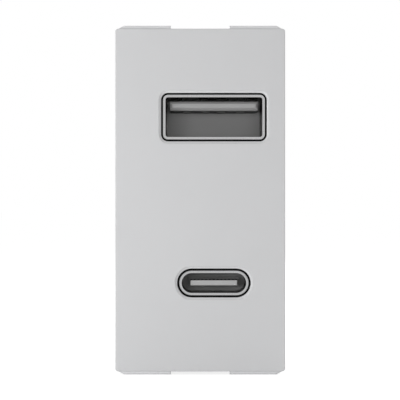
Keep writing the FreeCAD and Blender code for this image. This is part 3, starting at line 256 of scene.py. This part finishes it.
def circuit_board(name):
    """Solder mask over glass fibres, with faint copper tracks under it."""
    material, tree, shader = new_material(name)
    place = tree.nodes.new("ShaderNodeTexCoord")
    cells = tree.nodes.new("ShaderNodeTexVoronoi")
    cells.distance = "CHEBYCHEV"
    cells.inputs["Scale"].default_value = 1 / TRACK_SPACING
    cells.inputs["Randomness"].default_value = 0.9
    tree.links.new(place.outputs["Object"], cells.inputs["Vector"])
    tracks = cells.outputs["Distance"]
    fibres = object_noise(tree, FIBRE_SIZE, 2)
    colour_out = blend_colours(tree, tracks, SOLDER_MASK, MASK_ON_COPPER, TRACK_EDGE)
    rough_out = spread(tree, fibres, 0.28, 0.4)
    tree.links.new(colour_out, shader.inputs["Base Color"])
    tree.links.new(rough_out, shader.inputs["Roughness"])
    shader.inputs["Coat Weight"].default_value = 0.4
    shader.inputs["Coat Roughness"].default_value = 0.2
    add_bump(tree, shader, tracks, TRACK_HEIGHT, strength=0.5)
    return material


def fired(name, colour, roughness, grain=0.15 * MM):
    """Pressed and fired ceramic or ferrite with fine pits."""
    material, tree, shader = new_material(name)
    pits = object_noise(tree, grain, 3)
    colour_out = blend_colours(tree, pits, shaded(colour, -0.25), shaded(colour, 0.2))
    rough_out = spread(tree, pits, roughness + 0.1, roughness - 0.05)
    tree.links.new(colour_out, shader.inputs["Base Color"])
    tree.links.new(rough_out, shader.inputs["Roughness"])
    add_bump(tree, shader, pits, PIT_DEPTH)
    return material


def film(name, colour, roughness, transmission=0.0):
    """Thin film or tape: smooth, with soft ripples."""
    material, tree, shader = new_material(name)
    ripple = object_noise(tree, RIPPLE_SIZE, 1)
    colour_out = blend_colours(tree, ripple, shaded(colour, -0.05), shaded(colour, 0.05))
    rough_out = spread(tree, ripple, roughness, roughness + 0.08)
    tree.links.new(colour_out, shader.inputs["Base Color"])
    tree.links.new(rough_out, shader.inputs["Roughness"])
    shader.inputs["Transmission Weight"].default_value = transmission
    add_bump(tree, shader, ripple, RIPPLE_DEPTH, strength=0.6)
    return material


# Painted light and shade: depths behind the face, each with the share of the colour kept there

# Painted light: the chamfers and the seat tabs, 0.3 mm back, are lighter than the face and the skirt,
# for the light they catch
FACE_PAINTED_LIGHT_STOPS = [
    (0.03 * MM, 0.85),
    (0.12 * MM, 1.0),
    (0.5 * MM, 1.0),
    (0.9 * MM, 0.85),
]

# Painted shade: a shell's rim is bright and its walls inside are painted dark
SHELL_PAINTED_SHADE_STOPS = [
    (0.37 * MM, 1.0),
    (0.5 * MM, 0.25),
]

# Painted light and shade on the USB-A tongue: nose, its bevel and the faces behind it darkened step
# by step, then the back wall at full colour
A_TONGUE_PAINTED_LIGHT_STOPS = [
    (1.45 * MM, 0.72),
    (2.0 * MM, 0.60),
    (2.15 * MM, 0.33),
    (11.9 * MM, 0.33),
    (12.1 * MM, 1.0),
]

# Painted shade on the USB-C tongue: nose, a painted black shadow behind it, the tongue's root, then
# the cavity's floor, all darkened
C_TONGUE_PAINTED_SHADE_STOPS = [
    (1.3 * MM, 0.95),
    (1.4 * MM, 0.01),
    (5.4 * MM, 0.01),
    (5.5 * MM, 0.50),
    (6.6 * MM, 0.50),
    (6.8 * MM, 0.66),
]

FACE_GREY = (0.688, 0.691, 0.700)
HOUSING_GREY = (0.50, 0.505, 0.515)
NICKEL = (0.465, 0.467, 0.471)


def slot_materials():
    """One material for each slot of the record."""
    return {
        "face_plastic": moulded("face_plastic", FACE_GREY, 0.5, mottle=0.006, painted_light_stops=FACE_PAINTED_LIGHT_STOPS),
        "housing_plastic": moulded(
            "housing_plastic", HOUSING_GREY, 0.62, grain=0.22 * MM, depth=0.024 * MM
        ),
        "block_plastic": moulded(
            "block_plastic", (0.60, 0.60, 0.575), 0.55, grain=0.25 * MM, depth=0.014 * MM
        ),
        "brass": plated("brass", (0.70, 0.52, 0.24), 0.34, along=(1, 0.06, 1)),
        "cage_steel": plated("cage_steel", (0.60, 0.60, 0.59), 0.36, along=(1, 0.08, 1)),
        "screw_steel": plated("screw_steel", (0.62, 0.62, 0.62), 0.3, along=(0.2, 0.2, 1)),
        "shell_steel": plated(
            "shell_steel", NICKEL, 0.3,
            along=(1, 0.05, 1), depth=0.001 * MM, tarnish=0.02, painted_light_stops=SHELL_PAINTED_SHADE_STOPS,
        ),
        # Near-black seals in the slits around the port shells: a dark part standing in for the slits'
        # shadow, painted shade
        "seal_rubber": moulded(
            "seal_rubber", (0.012, 0.012, 0.012), 0.8, mottle=0.05, specular=0.1
        ),
        "tongue_plastic": moulded(
            "tongue_plastic", (0.51, 0.51, 0.51), 0.55, specular=0.15, painted_light_stops=A_TONGUE_PAINTED_LIGHT_STOPS
        ),
        "c_tongue_plastic": moulded(
            "c_tongue_plastic", (0.46, 0.46, 0.46), 0.55, specular=0.15, painted_light_stops=C_TONGUE_PAINTED_SHADE_STOPS
        ),
        # Contacts much darker than plain nickel: painted shade for the dark inside of the ports
        "contact_plating": plated(
            "contact_plating", (0.13, 0.126, 0.118), 0.4,
            along=(1, 0.05, 1), depth=0.001 * MM, tarnish=0.03,
        ),
        "board": circuit_board("board"),
        "chip": moulded("chip", (0.028, 0.028, 0.030), 0.55, grain=0.06 * MM, mottle=0.1),
        "ceramic_part": fired("ceramic_part", (0.42, 0.29, 0.17), 0.5),
        "fuse_body": moulded("fuse_body", (0.10, 0.075, 0.06), 0.42, mottle=0.06),
        "ferrite": fired("ferrite", (0.055, 0.055, 0.058), 0.55),
        "bobbin_plastic": moulded("bobbin_plastic", (0.035, 0.035, 0.038), 0.5, mottle=0.08),
        "winding_tape": film("winding_tape", (0.80, 0.52, 0.06), 0.25),
        "sleeve_black": film("sleeve_black", (0.025, 0.028, 0.05), 0.28),
        "can_aluminium": plated("can_aluminium", (0.74, 0.74, 0.75), 0.3, along=(0.08, 1, 1)),
        "sheet_film": film("sheet_film", (0.78, 0.78, 0.72), 0.3, transmission=0.25),
    }


def dress_nodes(materials):
    """Give every CAD node the material of its slot."""
    for entry in frame["record"]["subparts"]:
        mesh = nodes[entry["node"]].data
        mesh.materials.clear()
        mesh.materials.append(materials[entry["material_slot"]])


# Terminal screws: the thread that their plain solids leave out

THREAD_DEPTH = 0.27 * MM
# Width of the crest's flat and of the root's flat, as a share of half the pitch
THREAD_FLAT = 0.12
THREAD_RUNOUT = 0.5 * MM
THREAD_SIDES = 40
RINGS_PER_TURN = 10
TIP_TAPER = 0.35 * MM
HEAD_OVERLAP = 0.05 * MM
WELD = 0.001 * MM
SHARP_EDGE = math.radians(32)


def thread_pitch(side):
    """Rise of the cage for one turn of its screw."""
    joints = {joint["name"]: joint for joint in frame["record"]["behaviour"]["joints"]}
    rise = joints[f"cage_rise_{side}"]["range_m"]
    turn = joints[f"screw_turn_{side}"]["range_deg"]
    return (rise[1] - rise[0]) * 360 / (turn[1] - turn[0])


def thread_cut(height, angle, pitch, length):
    """Depth cut from the shank: a right-hand V that runs out under the head, and a tapered tip."""
    phase = (height / pitch - angle / math.tau) % 1
    into_groove = 1 - abs(2 * phase - 1)
    share = (into_groove - THREAD_FLAT) / (1 - 2 * THREAD_FLAT)
    runout = min(1, (length - height) / THREAD_RUNOUT)
    groove = THREAD_DEPTH * min(1, max(0, share)) * runout
    return max(groove, TIP_TAPER - height)


def add_shank(work, centre, foot, top, radius, pitch):
    """Closed threaded shank, ring by ring, in a mesh that holds the head."""
    length = top - foot
    count = round(length / pitch * RINGS_PER_TURN)
    rings = []
    for row in range(count + 1):
        height = length * row / count
        ring = []
        for step in range(THREAD_SIDES):
            angle = math.tau * step / THREAD_SIDES
            reach = radius - thread_cut(height, angle, pitch, length)
            x = centre.x + reach * math.cos(angle)
            y = centre.y + reach * math.sin(angle)
            ring.append(work.verts.new((x, y, foot + height)))
        rings.append(ring)
    for below, above in zip(rings, rings[1:]):
        for step in range(THREAD_SIDES):
            after = (step + 1) % THREAD_SIDES
            work.faces.new((below[step], below[after], above[after], above[step]))
    work.faces.new(list(reversed(rings[0])))
    work.faces.new(rings[-1])


def threaded_screw(side, material):
    """Terminal screw with its own head and a threaded shank."""
    node = f"terminal_screw_{side}"
    low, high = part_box(node)
    centre = (low + high) / 2
    work = bmesh.new()
    work.from_mesh(nodes[node].data)
    bmesh.ops.remove_doubles(work, verts=work.verts, dist=WELD)

    def reach(vert):
        return math.hypot(vert.co.x - centre.x, vert.co.y - centre.y)

    radius = max(reach(vert) for vert in work.verts if vert.co.z < low.z + WELD)
    under_head = min(vert.co.z for vert in work.verts if reach(vert) > radius + WELD)
    shank = [
        face for face in work.faces
        if all(reach(vert) < radius + WELD and vert.co.z < under_head + WELD for vert in face.verts)
    ]
    bmesh.ops.delete(work, geom=shank, context="FACES")
    rim = [edge for edge in work.edges if edge.is_boundary]
    bmesh.ops.holes_fill(work, edges=rim, sides=0)
    add_shank(work, centre, low.z, under_head + HEAD_OVERLAP, radius, thread_pitch(side))
    mesh = bpy.data.meshes.new(f"threaded_screw_{side}")
    work.to_mesh(mesh)
    work.free()
    # Normals carried over from the plain solid don't fit the new faces
    old_normals = mesh.attributes.get("custom_normal")
    if old_normals:
        mesh.attributes.remove(old_normals)
    mesh.materials.append(material)
    mesh.shade_smooth()
    mesh.set_sharp_from_angle(angle=SHARP_EDGE)
    screw = bpy.data.objects.new(mesh.name, mesh)
    scene.collection.objects.link(screw)
    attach(screw, f"screw_{side}")
    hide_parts(node)


# Stage: white floor and backdrop, soft light stronger from the left

WORLD_LIGHT = 0.425
FLOOR_HALF_WIDTH = 3.0
FLOOR_GAP = 0.02 * MM
FLOOR_WHITE = 0.95
FLOOR_SHADOW = 0.45
# With this glow the bare floor shows as white as the world
FLOOR_GLOW = (1 - FLOOR_SHADOW * FLOOR_WHITE * WORLD_LIGHT) / (1 - FLOOR_SHADOW)

# Lamps: name, place, width, height and power
LAMPS = [
    ("key_left", (-0.085, -0.060, -0.012), 0.06, 0.018, 0.040),
    ("front_soft", (-0.03, -0.50, 0.01), 0.25, 0.06, 0.55),
    ("top_soft", (0.0, 0.02, 0.35), 0.25, 0.25, 0.30),
    ("back_light", (0.10, 0.40, 0.30), 0.30, 0.30, 0.80),
]


def light_path_mix(tree, seen, lit):
    """Seen by the camera, in reflections and through glass; lit for all other rays."""
    path = tree.nodes.new("ShaderNodeLightPath")
    total = path.outputs["Is Camera Ray"]
    for name in ("Is Glossy Ray", "Is Transmission Ray"):
        both = tree.nodes.new("ShaderNodeMath")
        both.operation = "MAXIMUM"
        tree.links.new(total, both.inputs[0])
        tree.links.new(path.outputs[name], both.inputs[1])
        total = both.outputs["Value"]
    mix = tree.nodes.new("ShaderNodeMixShader")
    tree.links.new(total, mix.inputs["Fac"])
    tree.links.new(lit, mix.inputs[1])
    tree.links.new(seen, mix.inputs[2])
    return mix.outputs["Shader"]


def make_world():
    """White to look at, and an even pale light on the object."""
    world = bpy.data.worlds.new("studio")
    scene.world = world
    world.use_nodes = True
    tree = world.node_tree
    tree.nodes.clear()
    output = tree.nodes.new("ShaderNodeOutputWorld")
    seen = tree.nodes.new("ShaderNodeBackground")
    seen.inputs["Color"].default_value = WHITE
    seen.inputs["Strength"].default_value = 1.0
    lit = tree.nodes.new("ShaderNodeBackground")
    lit.inputs["Color"].default_value = WHITE
    lit.inputs["Strength"].default_value = WORLD_LIGHT
    mixed = light_path_mix(tree, seen.outputs["Background"], lit.outputs["Background"])
    tree.links.new(mixed, output.inputs["Surface"])


def make_floor():
    """White floor that keeps a faint shadow."""
    half = FLOOR_HALF_WIDTH
    level = cad_low.z - FLOOR_GAP
    corners = [(-half, -half, level), (half, -half, level), (half, half, level), (-half, half, level)]
    mesh = bpy.data.meshes.new("floor")
    mesh.from_pydata(corners, [], [(0, 1, 2, 3)])
    floor = bpy.data.objects.new("floor", mesh)
    scene.collection.objects.link(floor)
    material, tree, shader = new_material("floor_white")
    shader.inputs["Base Color"].default_value = (FLOOR_WHITE, FLOOR_WHITE, FLOOR_WHITE, 1)
    shader.inputs["Roughness"].default_value = 0.9
    shader.inputs["Specular IOR Level"].default_value = 0.0
    glow = tree.nodes.new("ShaderNodeEmission")
    glow.inputs["Color"].default_value = WHITE
    glow.inputs["Strength"].default_value = FLOOR_GLOW
    faint = tree.nodes.new("ShaderNodeMixShader")
    faint.inputs["Fac"].default_value = FLOOR_SHADOW
    tree.links.new(glow.outputs["Emission"], faint.inputs[1])
    tree.links.new(shader.outputs["BSDF"], faint.inputs[2])
    mixed = light_path_mix(tree, faint.outputs["Shader"], shader.outputs["BSDF"])
    output = next(node for node in tree.nodes if node.type == "OUTPUT_MATERIAL")
    tree.links.new(mixed, output.inputs["Surface"])
    mesh.materials.append(material)


def make_lamps():
    """Soft flat lamps that point at the object."""
    centre = (cad_low + cad_high) / 2
    for name, place, width, height, power in LAMPS:
        data = bpy.data.lights.new(name, "AREA")
        data.shape = "RECTANGLE"
        data.size = width
        data.size_y = height
        data.energy = power
        lamp = bpy.data.objects.new(name, data)
        scene.collection.objects.link(lamp)
        lamp.location = place
        aim = centre - Vector(place)
        lamp.rotation_euler = aim.to_track_quat("-Z", "Y").to_euler()
        lamp.visible_camera = False
        lamp.visible_glossy = False


make_camera()
materials = slot_materials()
dress_nodes(materials)
for pole in ("line", "neutral"):
    threaded_screw(pole, materials["screw_steel"])
make_world()
make_floor()
make_lamps()
scene.view_settings.view_transform = "Standard"
